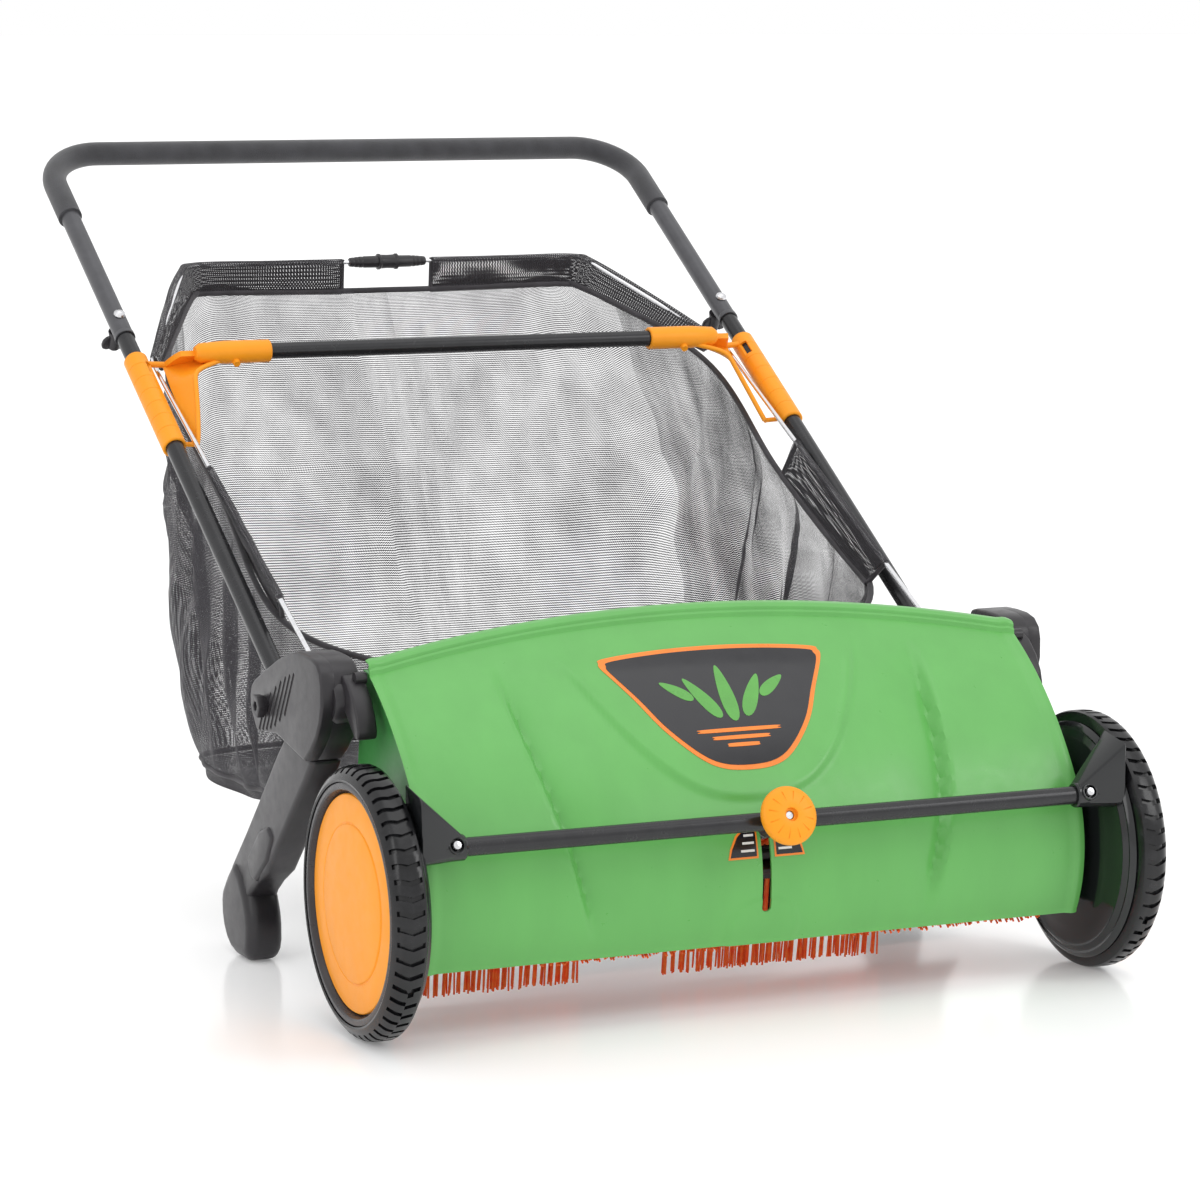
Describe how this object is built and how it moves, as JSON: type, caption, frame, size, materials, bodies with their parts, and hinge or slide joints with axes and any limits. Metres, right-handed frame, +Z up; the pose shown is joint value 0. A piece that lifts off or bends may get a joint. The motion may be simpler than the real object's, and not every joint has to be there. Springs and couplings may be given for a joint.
{
  "type": "push lawn sweeper",
  "caption": "Push lawn sweeper: wheel-driven brush under a curved green cover, tubular folding handle and an open mesh collection bag.",
  "frame": {"origin": "on the ground, midway between the sides and midway between the front of the wheels and the rear of the grip", "axes": "+X to the right side seen from the front cover with the bag behind, +Y to the rear towards the handle, +Z up"},
  "size_m": [0.8, 1.213, 0.7909],
  "materials": {
    "cover_green": "semi-gloss moulded",
    "orange_plastic": "satin moulded",
    "black_plastic": "satin moulded",
    "gloss_black": "glossy moulded",
    "tyre_black": "satin hard tyre",
    "painted_tube": "satin powder coat",
    "grey_tube": "satin powder coat",
    "bright_steel": "zinc plated",
    "chrome_rod": "bright",
    "grip_foam": "matt foam",
    "red_bristle": "nylon bristle",
    "bag_mesh": "open woven mesh"
  },
  "bodies": {
    "housing": {"front_cover": "cover_green", "rear_ramp": "black_plastic", "rear_stretcher": "painted_tube", "left_end_panel": "cover_green", "left_brush_bush": "black_plastic", "left_side_bracket": "black_plastic", "left_leg": "black_plastic", "right_end_panel": "cover_green", "right_brush_bush": "black_plastic", "right_side_bracket": "black_plastic", "right_leg": "black_plastic"},
    "height_frame": {"height_rod": "painted_tube", "clamp_bolt": "bright_steel", "clamp_spacer": "black_plastic", "left_wheel_cover": "gloss_black", "left_rod_screw": "bright_steel", "left_axle": "bright_steel", "right_wheel_cover": "gloss_black", "right_rod_screw": "bright_steel", "right_axle": "bright_steel"},
    "left_wheel": {"left_tyre": "tyre_black", "left_wheel_rim": "gloss_black", "left_hub_cap": "orange_plastic", "left_ring_gear": "black_plastic"},
    "right_wheel": {"right_tyre": "tyre_black", "right_wheel_rim": "gloss_black", "right_hub_cap": "orange_plastic", "right_ring_gear": "black_plastic"},
    "brush": {"brush_core": "black_plastic", "brush_shaft": "bright_steel", "left_pinion": "bright_steel", "right_pinion": "bright_steel", "brush_row_1": "red_bristle", "brush_row_2": "red_bristle", "brush_row_3": "red_bristle", "brush_row_4": "red_bristle", "brush_row_5": "red_bristle", "brush_row_6": "red_bristle"},
    "height_knob": {"height_knob": "orange_plastic"},
    "handle": {"upper_handle": "grey_tube", "handle_grip": "grip_foam", "cross_bar": "painted_tube", "left_lower_tube": "painted_tube", "left_corner_bracket": "orange_plastic", "left_handle_bolt": "bright_steel", "right_lower_tube": "painted_tube", "right_corner_bracket": "orange_plastic", "right_handle_bolt": "bright_steel"},
    "bag": {"bag": "bag_mesh", "bag_clasp": "black_plastic", "left_bag_rod": "chrome_rod", "right_bag_rod": "chrome_rod"},
    "left_hex_knob": {"left_hex_knob": "black_plastic"},
    "right_hex_knob": {"right_hex_knob": "black_plastic"},
    "left_wing_knob": {"left_wing_knob": "black_plastic"},
    "right_wing_knob": {"right_wing_knob": "black_plastic"}
  },
  "joints": [
    {"name": "height_adjust", "type": "hinge", "parent": "housing", "child": "height_frame", "pos_m": [0, -0.39952, 0.127], "axis": [1, 0, 0], "range_deg": [-1.5, 30]},
    {"name": "left_wheel_spin", "type": "hinge", "parent": "height_frame", "child": "left_wheel", "pos_m": [0, -0.47952, 0.127], "axis": [1, 0, 0], "continuous": true},
    {"name": "right_wheel_spin", "type": "hinge", "parent": "height_frame", "child": "right_wheel", "pos_m": [0, -0.47952, 0.127], "axis": [1, 0, 0], "continuous": true},
    {"name": "brush_spin", "type": "hinge", "parent": "height_frame", "child": "brush", "pos_m": [0, -0.39952, 0.127], "axis": [1, 0, 0], "continuous": true},
    {"name": "height_knob_turn", "type": "hinge", "parent": "height_frame", "child": "height_knob", "pos_m": [0, -0.55899, 0.1879], "axis": [0, -0.9342, 0.3567], "continuous": true},
    {"name": "handle_fold", "type": "hinge", "parent": "housing", "child": "handle", "pos_m": [0, -0.21752, 0.271], "axis": [1, 0, 0], "range_deg": [0, 58]},
    {"name": "bag_lift_off", "type": "slide", "parent": "handle", "child": "bag", "axis": [0, 0.8894, 0.4571], "range_m": [0, 0.05]},
    {"name": "left_hex_knob_turn", "type": "hinge", "parent": "handle", "child": "left_hex_knob", "pos_m": [-0.385, -0.21752, 0.271], "axis": [1, 0, 0], "continuous": true},
    {"name": "right_hex_knob_turn", "type": "hinge", "parent": "handle", "child": "right_hex_knob", "pos_m": [0.385, -0.21752, 0.271], "axis": [1, 0, 0], "continuous": true},
    {"name": "left_wing_knob_turn", "type": "hinge", "parent": "handle", "child": "left_wing_knob", "pos_m": [-0.3575, 0.31845, 0.60591], "axis": [0, -0.5299, 0.848], "continuous": true},
    {"name": "right_wing_knob_turn", "type": "hinge", "parent": "handle", "child": "right_wing_knob", "pos_m": [0.3575, 0.31845, 0.60591], "axis": [0, -0.5299, 0.848], "continuous": true}
  ],
  "couplings": [
    {"joint": "brush_spin", "follows": "left_wheel_spin", "ratio": 6},
    {"joint": "right_wheel_spin", "follows": "left_wheel_spin", "ratio": 1}
  ]
}
